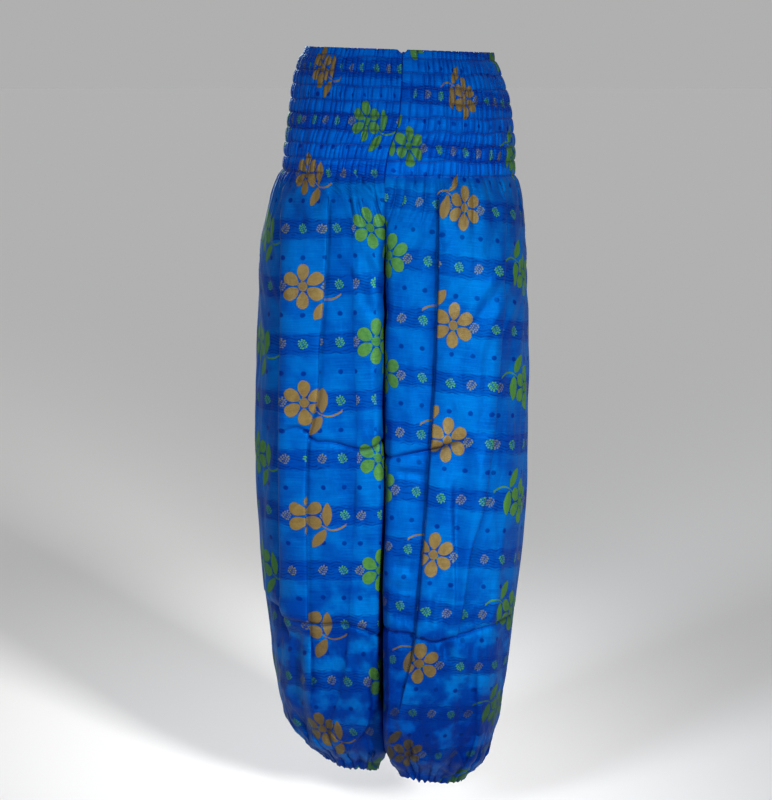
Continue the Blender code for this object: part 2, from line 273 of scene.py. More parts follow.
# Short wrinkles: x and drop at both ends, height and half-width
wrinkles = metres({"rightFront": (
    (-52, 168, -26, 196, -2.6, 4.5), (-46, 165, -34, 178, 2.2, 4), (-34, 205, -58, 235, -1.6, 6),
    (-70, 300, -40, 322, 1.2, 7), (-150, 520, -128, 512, 1.2, 6), (-45, 526, -24, 517, -2.6, 4),
    (-46, 505, -26, 498, 2, 5), (-100, 690, -66, 684, -1, 5), (-178, 738, -150, 752, -3, 5),
    (-170, 724, -140, 742, 2.4, 8), (-152, 775, -118, 790, -2.6, 10), (-60, 785, -30, 800, -1.8, 6),
    (-118, 890, -92, 915, 2.2, 7), (-70, 880, -50, 900, -1.4, 6), (-165, 860, -140, 900, 2, 7),
    (-150, 905, -128, 940, -3, 6),
), "leftFront": (
    (-6, 548, 34, 556, -3.2, 3.6), (-10, 672, 18, 680, -2.4, 4), (-12, 690, 16, 697, 1.8, 5),
    (-10, 706, 22, 712, -2.4, 4), (-4, 742, 20, 752, -2, 4.5), (50, 781, 56, 815, 2.8, 5),
    (62, 782, 67, 806, -4, 6.5), (75, 790, 105, 812, 1.4, 8), (78, 745, 110, 735, 1.4, 7),
    (46, 512, 62, 500, 2.2, 5), (40, 526, 52, 517, -3.4, 4.5), (30, 850, 52, 880, -1.8, 8),
    (120, 700, 160, 680, -1, 8), (60, 930, 72, 975, 2.6, 4.5), (76, 920, 86, 950, 2.2, 4.5),
    (34, 925, 38, 975, -2.4, 5),
), "leftBack": (
    (10, 300, 40, 345, -1.6, 8), (30, 420, 70, 440, -1.4, 7), (80, 560, 120, 545, 1.4, 7),
    (10, 640, 50, 655, -1.6, 6), (60, 780, 100, 800, -2.2, 8), (50, 900, 45, 960, -3, 6),
), "rightBack": (
    (-40, 280, -70, 330, -1.6, 8), (-60, 430, -110, 450, -1.4, 7), (-150, 600, -110, 590, 1.4, 7),
    (-50, 660, -90, 650, -1.6, 6), (-70, 790, -120, 800, -2.2, 8), (-110, 900, -100, 960, -3, 6),
)})

folding = {
    "fade": 0.045,  # a fold grows over this much of its length
    "lap": 1.6,
    "lipShade": (-0.0004, 0.0008),
    "underReach": 0.5,
    "darkestTuck": 0.009,
    "bend": (0.004, 0.070),  # rings this close to a crease lie along it or bend with it
    "lineWidth": 0.0022,
    "valleyShade": (0.45, 0.012),  # below the line, and how far
    "deepestValley": 0.007,
    "calmTo": 0.05,
    "facing": (0.25, 0.8),
    "ripples": ((0.0011, 0.050, 0.320), (0.0005, 0.021, 0.110)),  # height, lengths
    "lowShade": {1: 0.54, -1: 0.24},  # of each leg towards its ankle
    "lowEnds": (0.82, 0.91),
    "gapShade": {1: 0.45, -1: 0.0},  # and next to the gap
    "gapReach": 0.016,
}

# side is +1 for the wearer's left, half is -1 for the front, wide counts the widened puffs next to the centre
# seam, turn is -1 where the print runs upside down, and shift is how far it is moved across
panelColumns = ("name", "side", "half", "nodes", "seed", "wide", "turn", "shift")
panels = (
    ("leftFront", 1, -1, ("left_front_top", "left_front_leg"), 11, 3, -1, 0.0),
    ("rightFront", -1, -1, ("right_front_top", "right_front_leg"), 23, 2, 1, 0.0),
    ("leftBack", 1, 1, ("left_back_top", "left_back_leg"), 37, 0, -1, 0.045),
    ("rightBack", -1, 1, ("right_back_top", "right_back_leg"), 41, 0, 1, 0.070),
)

# (drop, x) down one line of tan flowers, the flat cloth's own measure at each drop along it, and how much lower
# the print lies on the wearer's left, in millimetres a metre
prints = metres({
    "rightFront": (((0, -96), (23, -98.8), (158, -118.3), (303, -123.7), (456, -123.5), (609, -123.3), (759, -119),
        (915, -107.1), (993, -85)), ((0, -29), (26, 0), (162, 154), (304, 308), (456, 462), (610, 616), (763, 770),
        (927, 924), (993, 996)), ((0, 0), (160, -20), (250, -50), (450, -30), (610, 5), (800, 0), (993, -50))),
    "leftFront": (((0, 76), (62, 82.9), (202, 81.8), (354, 69.4), (506, 62.4), (661, 44.7), (814, 26.6),
        (954, 11.1), (993, 11)), ((0, -68), (60, 0), (201, 154), (353, 308), (505, 462), (659, 616), (809, 770),
        (945, 924), (993, 985)), ((0, 60), (100, 50), (180, 90), (250, 115), (700, 115), (800, 90), (860, 30),
        (905, -20), (935, -70), (993, -100))),
    "leftBack": (((0, 60), (160, 78), (400, 86), (700, 79), (993, 45)), ((0, -40), (150, 120), (500, 472),
        (900, 875), (993, 985)), ((0, 10), (400, 30), (800, 30), (993, -50))),
    "rightBack": (((0, -60), (160, -83), (400, -98), (700, -95), (993, -72)), ((0, -90), (150, 70), (500, 422),
        (900, 825), (993, 935)), ((0, 20), (400, -30), (800, -20), (993, -50))),
})
# flat cloth to a metre of the gathered garment, at each drop
fullness = metres(((0, 1700), (25, 1840), (55, 1600), (90, 1410), (125, 1410), (160, 1460), (190, 1300),
    (220, 1160), (270, 1040), (345, 1000), (800, 1000), (880, 1060), (930, 1200), (965, 1550), (981, 1900),
    (993, 2000)))


def smooth(value, low, high):  # 0 below low, 1 above high
    t = np.clip((value - low) / (high - low), 0.0, 1.0)
    return t * t * (3 - 2 * t)


def bell(away, width):
    return np.exp(-((away / width) ** 2))


def dying(away, reach):
    return np.exp(-np.abs(away) / reach)


def running(steps):
    return np.concatenate([[0], np.cumsum(steps)])


def curveThrough(table, at):  # the rows of a table, read on a smooth curve
    table = np.asarray(table, float)
    key = table[:, 0]
    slopes = np.gradient(table, key, axis=0)
    at = np.clip(np.asarray(at, float), key[0], key[-1])
    k = np.clip(np.searchsorted(key, at) - 1, 0, len(key) - 2)
    span = (key[k + 1] - key[k])[..., None]
    t = ((at - key[k]) / span[..., 0])[..., None]
    return ((1 + 2 * t) * (1 - t) ** 2 * table[k] + t * (1 - t) ** 2 * span * slopes[k]
            + t * t * (3 - 2 * t) * table[k + 1] + t * t * (t - 1) * span * slopes[k + 1])


def contour(side, half, row):  # a panel's line round one section, from its centre seam
    drop, rightX, centreX, leftX, apart, frontY, backY = row[:7]
    outer = leftX if side > 0 else rightX
    middle = (frontY + backY) / 2 - side * section["stagger"] * smooth(drop, crotch, cuff["top"])
    inner = centreX + side * (apart + seam["gap"] / 2)
    crest = inner + smooth(drop, smockEnd, crotch - 0.10) * (outer - inner) / 2
    crevice = smooth(drop, smockEnd, crotch)
    start = math.asin(min((1 - crevice) ** (section["innerPower"] / 2), section["nearlyOne"]))
    turnIn = np.linspace(start, math.pi / 2, section["samples"])
    turnOut = np.linspace(math.pi / 2, 0, section["samples"])[1:]
    powerIn, powerOut = 2 / section["innerPower"], 2 / section["outerPower"]
    xIn = crest - (crest - inner) * (np.cos(turnIn) / math.cos(start)) ** powerIn
    xOut = crest + (outer - crest) * np.cos(turnOut) ** powerOut
    depth = np.concatenate([np.sin(turnIn) ** powerIn, np.sin(turnOut) ** powerOut]) * (backY - frontY) / 2
    return np.concatenate([xIn, xOut]), middle + half * depth


def baseOf(side, half):  # the panel without folds: places and outward directions
    drops = np.linspace(0, hem, section["rings"])
    shares = np.linspace(0, 1, section["across"])
    rows = curveThrough(sections, drops)
    lengths, made = [], []
    for row in rows:
        x, y = contour(side, half, row)
        length = running(np.hypot(np.diff(x), np.diff(y)))
        lengths.append(length[-1])
        x, y = (np.interp(shares * length[-1], length, line) for line in (x, y))
        wayX, wayY = np.gradient(x), np.gradient(y)
        size = side * half * np.hypot(wayX, wayY)
        made.append((x, y, -wayY / size, wayX / size))
    grids = dict(zip(("x", "y", "outX", "outY"), np.array(made).transpose(1, 0, 2)))
    return {**grids, "side": side, "drops": drops, "shares": shares, "length": np.array(lengths),
            "slope": rows[:, 7]}


def readBase(base, name, drop, share):  # one of the base grids between its points
    grid = base[name]
    rows, columns = (size - 1 for size in grid.shape)
    i, j = np.clip(drop / hem * rows, 0, rows - 0.001), np.clip(share * columns, 0, columns - 0.001)
    i0, j0 = i.astype(int), j.astype(int)
    s, t = i - i0, j - j0
    return ((1 - s) * ((1 - t) * grid[i0, j0] + t * grid[i0, j0 + 1])
            + s * ((1 - t) * grid[i0 + 1, j0] + t * grid[i0 + 1, j0 + 1]))


def runOfLine(base, line):  # where each base ring crosses a line of (drop, x) points
    places, side = curveThrough(line, base["drops"])[:, 1], base["side"]
    shares = [np.interp(side * x, side * row, base["shares"]) for x, row in zip(places, base["x"])]
    return np.array(shares) * base["length"]


def atDrop(base, values, drop):  # what is known at each base ring, read between them
    return np.interp(drop, base["drops"], values)


def readTable(table, drop):
    return np.interp(drop, *np.array(table).T)


def ripples(rng, run, drop, runLength, dropLength, count=9):  # uneven waves, about -1 to 1
    total = np.zeros_like(run)
    for _ in range(count):
        across = 2 * math.pi / (runLength * rng.uniform(0.6, 1.7))
        down = 2 * math.pi / (dropLength * rng.uniform(0.6, 1.7)) * rng.choice((-1, 1))
        total += np.cos(across * run + down * drop + rng.uniform(0, 2 * math.pi))
    return total / math.sqrt(count)


def ringDrops():  # every ring, and whether all columns run through it
    drops = list(np.linspace(0, shirring[0], cloth["hemRings"], endpoint=False))
    for row in shirring[:-1]:
        drops += [row + smocking["pitch"] * step for step in cloth["rowSteps"]]
    drop = smockEnd
    clear, parting = cloth["creaseGrowth"]
    while drop < cloth["fineFrom"]:
        drops.append(drop)
        near = min(abs(drop - crease["rings"]) for crease in creases["leftFront"])
        opening = cloth["ankleStep"] + (drop - smockEnd) * cloth["growth"]
        drop += min(opening, cloth["legStep"], cloth["creaseStep"] + max(near - clear, 0) * parting)
    count = int((cuff["top"] - drop) / cloth["ankleStep"])
    drops += list(np.linspace(drop, cuff["top"], count, endpoint=False))
    drops = np.array(drops + list(np.linspace(cuff["top"], hem, cloth["casingRings"])))
    return drops, (drops < cloth["fineTo"]) | (drops > cloth["fineFrom"])


def gatherLines(rng, count, levels, wide, spread, uneven):  # crease places, how shallow each, puff heights
    widths = rng.uniform(1 - uneven, 1 + uneven, count)
    widths[:wide] *= gather["widened"]
    places = (running(widths) / widths.sum())[:, None]
    grid = (count + 1, levels)
    most = gather["room"] * (1 - uneven) / count
    moved = np.clip(places + rng.normal(0, spread / count, grid), places - most, places + most)
    moved[0], moved[-1] = 0, 1
    flat = rng.random(grid) < gather["flatShare"]
    shallow = np.where(flat, rng.uniform(*gather["flat"], grid), rng.uniform(*gather["sharp"], grid))
    tall = rng.uniform(*gather["tall"], (count, levels))
    for values, atSeams in zip((shallow, tall), gather["atSeams"]):
        values[0] = values[-1] = atSeams
    return [moved, shallow, tall]


def openOut(lines, beyond, start, end):
    lines[1] = np.maximum(lines[1], smooth(beyond, start[:, None], end[:, None]))


def gatherProfile(lines, levels, drop, share, soft):
    # along one ring: height, how deep in a crease each point is, and how far the print is drawn towards it
    k = int(np.clip(np.searchsorted(levels, drop) - 1, 0, len(levels) - 2))
    t = smooth(drop, levels[k], levels[k + 1])
    place, low, height = ((1 - t) * values[:, k] + t * values[:, k + 1] for values in lines)
    n = np.clip(np.searchsorted(place, share, side="right") - 1, 0, len(place) - 2)
    width = place[n + 1] - place[n]
    at = np.clip((share - place[n]) / width, 0, 1)
    floor = (1 - at) * low[n] + at * low[n + 1]
    off = 2 * at - 1
    away = np.abs(off)
    arch = (1 - soft) * (1 - away ** gather["archPower"]) + soft * np.sin(math.pi * at) ** 2
    drawn = width / 2 * (np.sign(off) * away ** gather["drawnPower"] - off) * (1 - gather["drawnSoft"] * soft)
    return height[n] * (floor + (1 - floor) * arch), away ** gather["creasePower"] * (1 - floor), drawn


def addGathers(lines, levels, drops, share, used, size, soft, inset, creaseShade, lineShade):
    height, shade, drawn = np.zeros((3, *share.shape))
    for i in np.flatnonzero(used):
        rise, crease, drawn[i] = gatherProfile(lines, levels, drops[i], share[i], soft[i])
        height[i] = size[i] * rise - inset[i]
        shade[i] = crease * creaseShade[i] + lineShade[i]
    return height, shade, drawn


def addSmocking(rng, drops, share, wide):  # the puffs between the rows, and their release
    first, count, brink, release = (smocking[key] for key in ("firstRow", "puffs", "brink", "release"))
    edges = np.sort(np.concatenate([shirring - brink, shirring + brink]))
    levels = np.concatenate([[0], edges, smockEnd + np.array([*smocking["openings"], release])])
    lines = gatherLines(rng, count, smocking["rows"] + 1, wide, smocking["spread"], smocking["uneven"])
    picked = np.minimum(np.arange(len(levels)) // 2, smocking["rows"])
    lines = [values[:, picked] for values in lines]
    lines[0][1:-1] += rng.normal(0, smocking["jitter"] / count, lines[0][1:-1].shape)
    least, most, power = smocking["life"]
    life = rng.uniform(least, most, count + 1) ** power * release
    openOut(lines, levels - smockEnd, 0.25 * life, life + 1e-6)

    inHem, inRows = drops < first, drops <= smockEnd
    below = drops - smockEnd
    pinch = np.select([inHem, inRows], [
        np.abs(np.sin(math.pi / 2 * (1 - drops / first))) ** smocking["hemPower"],
        np.abs(np.sin(math.pi * (drops - first) / smocking["pitch"])) ** smocking["rowPower"],
    ], smooth(below, -0.004, 0.010))
    tall = np.select([inHem, inRows], [smocking["hemHeight"], smocking["height"]],
                     smocking["looseHeight"] * (1 - smooth(below, 0, release)))
    size = (smocking["rowHeight"] + (tall - smocking["rowHeight"]) * pinch).clip(0)
    soft = smooth(below, 0, smocking["softened"])
    fade = 1 - smooth(below, *smocking["insetEnds"])
    inset = smocking["inset"] * (1 - pinch) * fade
    # painted shade in the creases between puffs and along each row of elastic
    loose, creaseShade = smocking["creaseShade"]
    creaseShade = creaseShade * (loose + (1 - loose) * fade) * (1 - soft)
    rowShade = smocking["rowShade"] * bell(drops[:, None] - shirring, smocking["rowWidth"]).sum(axis=1)
    return addGathers(lines, levels, drops, share, below <= release, size, soft, inset, creaseShade, rowShade)


def addCuff(rng, drops, share):  # the gathers above the ankle elastic, and its casing
    levels, top = np.array(cuff["levels"]), cuff["top"]
    lines = gatherLines(rng, cuff["gathers"], len(levels), 0, cuff["spread"], cuff["uneven"])
    least, added, power = cuff["life"]
    life = least + rng.uniform(0, 1, cuff["gathers"] + 1) ** power * added
    openOut(lines, top - levels, 0.35 * life, life)

    above = top - drops
    size = cuff["height"] * smooth(drops, levels[0], top - 0.008) ** 1.3
    size += (cuff["stitchHeight"] - size) * (1 - smooth(above, 0, cuff["stitchReach"]))
    soft = smooth(above, *cuff["softened"])
    # painted shade in the creases and along the casing's stitching
    onSeam = bell(above, cuff["stitchWidth"])
    return addGathers(lines, levels, drops, share, drops >= levels[0], size, soft,
                      cuff["stitchInset"] * onSeam, size / cuff["height"], cuff["stitchShade"] * onSeam)


def foldPlace(fold, base, drop, run):  # how far past its line, and how grown it is
    first, last = fold["line"][0][0], fold["line"][-1][0]
    fade = folding["fade"]
    grown = smooth(drop, first, first + fade) * (1 - smooth(drop, last - fade, last))
    return run - atDrop(base, runOfLine(base, fold["line"]), drop), grown


def tuckShift(tuck, away, grown):  # outwards, along the panel, and the painted shade under its lip
    reach = np.where(away < 0, tuck["near"], tuck["far"])
    lip = away / tuck["edge"]
    out = tuck["height"] * np.tanh(lip) * dying(away, reach)
    along = -tuck["lap"] * folding["lap"] * lip * np.exp(-(lip ** 2))
    under = -away * np.sign(tuck["height"])  # how far inside the fold, under its lip
    shade = smooth(under, *folding["lipShade"]) * dying(under.clip(0), reach * folding["underReach"])
    return out * grown, along * grown, shade * min(abs(tuck["height"]) / folding["darkestTuck"], 1) * grown


def creaseShift(crease, x, drop, fromSide, facing):
    _, at, step, valley = np.moveaxis(curveThrough(crease["line"], x), -1, 0)
    away = drop - at
    reach = np.where(away < 0, crease["above"], crease["below"])
    out = -valley * dying(away, crease["width"])
    out -= step * np.tanh(away / crease["width"]) * dying(away, reach) * (1 - facing)
    # painted shade along the crease's line and below it
    dark, far = folding["valleyShade"]
    under = dark * dying(away, far) * (away > 0)
    shade = (bell(away, folding["lineWidth"]) + under) * valley / folding["deepestValley"]
    left = 1 - crease["calm"] * (1 - smooth(fromSide, 0, folding["calmTo"]))
    return out * left, shade * left


def wrinkleShift(wrinkle, base, drop, run):
    x0, drop0, x1, drop1, height, width = wrinkle
    ends, side = [], base["side"]
    for x, at in ((x0, drop0), (x1, drop1)):
        ring = round(at / hem * (len(base["drops"]) - 1))
        share = np.interp(side * x, side * base["x"][ring], base["shares"])
        ends.append(np.array([share * base["length"][ring], at]))
    length = np.hypot(*(ends[1] - ends[0]))
    way = (ends[1] - ends[0]) / length
    run, drop = run - ends[0][0], drop - ends[0][1]
    along = (run * way[0] + drop * way[1]) / length
    taper = smooth(along, -0.25, 0.3) * (1 - smooth(along, 0.7, 1.25))
    return height * taper * bell(run * way[1] - drop * way[0], width)


def followedTucks(base, name):  # tucks that hide cloth, with their column and run
    found = []
    for tuck in tucks[name]:
        if not tuck["hidden"]:
            continue
        run = runOfLine(base, tuck["line"])
        first, last = tuck["line"][0][0], tuck["line"][-1][0]
        held = (base["drops"] > first) & (base["drops"] < last)
        half = cloth["columns"] // 2
        column = round((run[held] / base["length"][held]).mean() * half) / half
        run += smooth(base["drops"], last, last + cloth["leave"]) * (column * base["length"] - run)
        found.append((column, run, tuck))
    return found


def shareOf(base, followed, columns, drop):  # of each ring, with columns close along tucks
    length = atDrop(base, base["length"], drop)
    band, bandRun = cloth["bandColumns"] / cloth["columns"], cloth["band"]
    knots = [(0.0, 0 * base["length"])]
    for column, run, _ in sorted(followed, key=lambda found: found[0]):
        knots += [(column + k * band, run + k * bandRun) for k in (-1, 0, 1)]
    knots.append((1.0, base["length"]))
    run = np.zeros_like(drop)
    for (start, startRun), (end, endRun) in zip(knots, knots[1:]):
        low, high = atDrop(base, startRun, drop), atDrop(base, endRun, drop)
        inside = (columns >= start) & (columns <= end)
        run = np.where(inside, low + (columns - start) / (end - start) * (high - low), run)
    top, full, leave, bottom = cloth["held"]
    held = smooth(drop, smockEnd + top, smockEnd + full) * (1 - smooth(drop, leave, bottom))
    return columns + held * (run / length - columns)


def bendRings(name, base, rng, drops, share):  # the drops, with rings laid along creases
    drop = np.repeat(drops[:, None], share.shape[1], axis=1)
    across = share[0]
    waves = [smocking["wobble"] * ripples(rng, across, 0, smocking["wobbleLength"], 1, 6) for _ in shirring]
    matched = smooth(across, 0, 0.06) * (1 - smooth(across, 0.94, 1))  # rows meet at the seams
    waves = [wave * matched for wave in (0.5 * waves[0], *waves, 0 * waves[0])]
    keys = np.array([0, *shirring, smockEnd + 0.03])
    for i in np.flatnonzero(drops < keys[-1]):
        k = int(np.searchsorted(keys, drops[i], side="right")) - 1
        t = (drops[i] - keys[k]) / (keys[k + 1] - keys[k])
        drop[i] += (1 - t) * waves[k] + t * waves[k + 1]
    x = readBase(base, "x", drop, share)
    for crease in creases[name]:
        pull = curveThrough(crease["line"], x)[..., 1] - crease["rings"]
        drop += pull * (1 - smooth(np.abs(drops - crease["rings"]), *folding["bend"]))[:, None]
    edge = ripples(rng, share, 0, cuff["wobbleLength"], 1, 7)
    drop += cuff["wobble"] * edge * smooth(drops, cuff["top"] + 0.002, hem)[:, None]
    drop += smocking["edgeWobble"] * edge * (1 - smooth(drops, 0, 0.008))[:, None]
    inner, outer = cuff["rise"][base["side"]]
    rise = inner * (1 - smooth(share, 0, 0.5)) + outer * smooth(share, 0.5, 1)
    drop -= rise * smooth(drops, 0.950, hem)[:, None]
    drop += seam["notch"] * bell(share, seam["notchShare"]) * (1 - smooth(drops, 0, shirring[0]))[:, None]
    return drop.clip(0)


def printPlace(name, base, followed, drop, run, drawn):
    # the flat cloth's own coordinates, and how much each tuck adds beyond its column
    line, measure, _ = prints[name]
    lineRun = atDrop(base, runOfLine(base, line), drop)
    full = readTable(fullness, drop)
    across = full * (run - lineRun) + (full - 1.05).clip(0) * drawn
    extra = []
    for _, _, tuck in followed:
        hidden = readTable(tuck["hidden"], drop)
        tuckRun = atDrop(base, runOfLine(base, tuck["line"]), drop)
        across -= hidden * smooth(lineRun - tuckRun, -0.006, 0.006)
        extra.append(hidden)
    return across, curveThrough(measure, drop)[..., 1], extra


def panelPoints(panel):
    side, name = panel["side"], panel["name"]
    base = baseOf(side, panel["half"])
    rng = np.random.default_rng(panel["seed"])
    drops, fine = ringDrops()
    columns = np.tile(np.linspace(0, 1, cloth["columns"] + 1), (len(drops), 1))
    followed = followedTucks(base, name)
    share = shareOf(base, followed, columns, np.repeat(drops[:, None], columns.shape[1], axis=1))
    drop = bendRings(name, base, rng, drops, share)
    share = shareOf(base, followed, columns, drop)
    length = atDrop(base, base["length"], drop)
    edge = seam["gap"] / 4 / length
    share = edge + share * (1 - 2 * edge)
    run = share * length

    out, along, shade, drawn = np.zeros((4, *run.shape))
    for roll in rolls[name]:
        away, grown = foldPlace(roll, base, drop, run)
        out += roll["height"] * grown * bell(away, roll["edge"])
    for tuck in tucks[name]:
        outwards, sideways, under = tuckShift(tuck, *foldPlace(tuck, base, drop, run))
        out += outwards
        along += sideways
        shade += under
    for wrinkle in wrinkles[name]:
        out += wrinkleShift(wrinkle, base, drop, run)
    legs = smooth(drop, smockEnd, smockEnd + 0.06)
    for height, acrossLength, downLength in folding["ripples"]:
        out += height * legs * ripples(rng, run, drop, acrossLength, downLength)
    crevice = smooth(drop, smockEnd, crotch)
    fromCentre = smooth(run, 0, seam["fade"] + (seam["creviceFade"] - seam["fade"]) * crevice)
    fromSide = smooth(length - run, 0, seam["fade"])
    out *= fromCentre * fromSide
    along *= fromCentre * fromSide

    x = readBase(base, "x", drop, share)
    facing = smooth(-side * readBase(base, "outX", drop, share), *folding["facing"])
    for crease in creases[name]:
        inwards, under = creaseShift(crease, x, drop, length - run, facing)
        out += inwards * fromCentre
        shade += under * fromCentre
    centre = readTable(sections[:, (0, 2)], drop)
    # painted shade: darker towards each ankle, and next to the gap between the legs
    shade += folding["lowShade"][side] * smooth(drop, *folding["lowEnds"])
    fromGap = (side * (x - centre)).clip(0)
    shade += folding["gapShade"][side] * crevice * dying(fromGap, folding["gapReach"])
    for rise, under, moved in (addSmocking(rng, drops, share, panel["wide"]), addCuff(rng, drops, share)):
        out += rise
        shade += under
        drawn += moved
    shallow, added = seam["dip"]
    dip = (shallow + added * legs) * dying(np.minimum(run, length - run), seam["dipWidth"])
    out -= dip * (1 - smooth(crevice, 0, 0.2) * (run < length / 2))

    moved = np.clip(share + along / length, 0, 1)
    x, y, outX, outY = (readBase(base, key, drop, moved) for key in ("x", "y", "outX", "outY"))
    lift = section["leftLift"] * smooth(drop, cuff["start"], hem) if side > 0 else 0
    z = lift - drop - atDrop(base, base["slope"], drop) * x
    x, y = x + outX * out, y + outY * out
    lean, leanWidth, leanDepth = section["hollow"]
    lean = lean * smooth(drop, smockEnd, 0.30) * (1 - smooth(drop, 0.90, 0.96))
    x -= lean * bell(x - centre, leanWidth) * bell(y, leanDepth)
    across, down, extra = printPlace(name, base, followed, drop, run, drawn * length)
    return {"points": np.stack([x, y, z], axis=-1), "drops": drops, "fine": fine, "across": across,
            "down": down, "extra": extra, "cuts": [round(found[0] * cloth["columns"]) for found in followed],
            "shade": shade.clip(0, 1), "tilt": readTable(prints[name][2], drop)}


def addMesh(name, corners, faces):
    mesh = bpy.data.meshes.new(name)
    mesh.from_pydata(corners.tolist(), [], faces)
    mesh.shade_smooth()
    piece = bpy.data.objects.new(name, mesh)
    bpy.context.scene.collection.objects.link(piece)
    return piece


def addMap(mesh, name, u, v):
    layer = mesh.uv_layers.new(name=name)
    layer.uv.foreach_set("vector", np.stack([u, v], axis=1).astype(np.float32).ravel())


def makeCloth(panel, grid):
    facing = panel["side"] * panel["half"]
    fine = grid["fine"]
    used = np.ones(grid["points"].shape[:2], bool)
    used[~fine, 1::2] = False
    number = np.cumsum(used).reshape(used.shape) - 1
    faces, loops, cells = [], [], []
    for i, (upper, lower) in enumerate(zip(fine, fine[1:])):
        step = 1 if upper and lower else 2
        for j in range(0, cloth["columns"], step):
            top = [(i, n) for n in range(j, j + step + 1, 1 if upper else 2)]
            bottom = [(i + 1, n) for n in range(j, j + step + 1, 1 if lower else 2)]
            face = (top + bottom[::-1])[::facing]
            faces.append([int(number[place]) for place in face])
            loops += face
            cells += [j] * len(face)
    piece = addMesh(panel["name"], grid["points"][used], faces)
    i, j = np.array(loops).T
    u, v = grid["across"][i, j], grid["down"][i, j]
    for cut, extra in zip(grid["cuts"], grid["extra"]):
        u += np.where(np.array(cells) >= cut, extra[i, j], 0)
    u *= -facing
    v -= grid["tilt"][i, j] * u
    shade = grid["shade"][i, j]
    addMap(piece.data, "cut", panel["turn"] * u + panel["shift"], panel["turn"] * v)
    addMap(piece.data, "paintedShadeUV", shade, 0 * shade)  # its first coordinate is painted shade: how much the colour is darkened in each fold, crease and gather, towards the ankles and by the gap between the legs
    wall = piece.modifiers.new("wall", "SOLIDIFY")
    wall.thickness = cloth["thickness"]
    wall.offset = -1
    wall.use_even_offset = False
    wall.use_quality_normals = True
    return piece


def arithmetic(operation, swapped=False):
    def apply(self, *others):
        return self.node("Math", {"operation": operation},
                         dict(enumerate((*others, self) if swapped else (self, *others))))
    return apply


class Wire:  # a socket; arithmetic on it adds Math nodes
    def __init__(self, tree, socket=None):
        self.tree = tree
        self.socket = socket

    def node(self, kind, settings=None, inputs=None, output=0):  # settings first, then values and links
        made = self.tree.nodes.new("ShaderNode" + kind)
        for name, value in (settings or {}).items():
            setattr(made, name, value)
        for name, value in (inputs or {}).items():
            if isinstance(value, Wire):
                self.tree.links.new(value.socket, made.inputs[name])
            else:
                made.inputs[name].default_value = value
        return Wire(self.tree, made.outputs[output])

    __add__ = __radd__ = arithmetic("ADD")
    __mul__ = __rmul__ = arithmetic("MULTIPLY")
    __sub__, __rsub__ = arithmetic("SUBTRACT"), arithmetic("SUBTRACT", True)
    __truediv__, __pow__, __abs__ = arithmetic("DIVIDE"), arithmetic("POWER"), arithmetic("ABSOLUTE")
    least, most, beyond = arithmetic("MINIMUM"), arithmetic("MAXIMUM"), arithmetic("GREATER_THAN")
    sine, cosine, turnFrom = arithmetic("SINE"), arithmetic("COSINE"), arithmetic("ARCTAN2")
    root, rounded, fraction = arithmetic("SQRT"), arithmetic("ROUND"), arithmetic("FRACT")

    def clamped(self):
        return self.most(0.0).least(1.0)

    def between(self, low, high):  # 0 at low, 1 at high
        return self.node("MapRange", {"interpolation_type": "SMOOTHSTEP"},
                         {"Value": self, "From Min": low, "From Max": high})

    def within(self, start, low, high, end):  # 1 from low to high, 0 outside start and end
        return self.between(start, low) * (1 - self.between(high, end))

    def repeated(self, pitch):  # from the nearest multiple of pitch
        return ((self / pitch + 0.5).fraction() - 0.5) * pitch

    def mix(self, low, high):  # two numbers by this factor
        return low + self * (high - low)

    def mixColour(self, low, high):  # two colours by this factor
        return self.node("Mix", {"data_type": "RGBA"}, {0: self, 6: low, 7: high}, 2)

    def vectorMath(self, operation, other):
        return self.node("VectorMath", {"operation": operation}, {0: self, 1: other})

    def axis(self, number):
        return self.node("SeparateXYZ", {}, {0: self}, number)

    def noise(self, scale, detail, output=0):  # with this for its place
        return self.node("TexNoise", {}, {"Vector": self, "Scale": scale, "Detail": detail}, output)

    def drives(self, shader, name):
        self.tree.links.new(self.socket, shader.inputs[name])


def newMaterial(name, constants):
    material = bpy.data.materials.new(name)
    material.use_nodes = True
    shader = material.node_tree.nodes["Principled BSDF"]
    for key, value in constants.items():
        shader.inputs[key].default_value = value
    return material, shader, Wire(material.node_tree)


def rgb(red, green, blue, depth=0.44):  # a dye, from its colour on a screen in bright light
    def linear(value):
        value /= 255
        return depth * (value / 12.92 if value <= 0.04045 else ((value + 0.055) / 1.055) ** 2.4)
    return (linear(red), linear(green), linear(blue), 1.0)


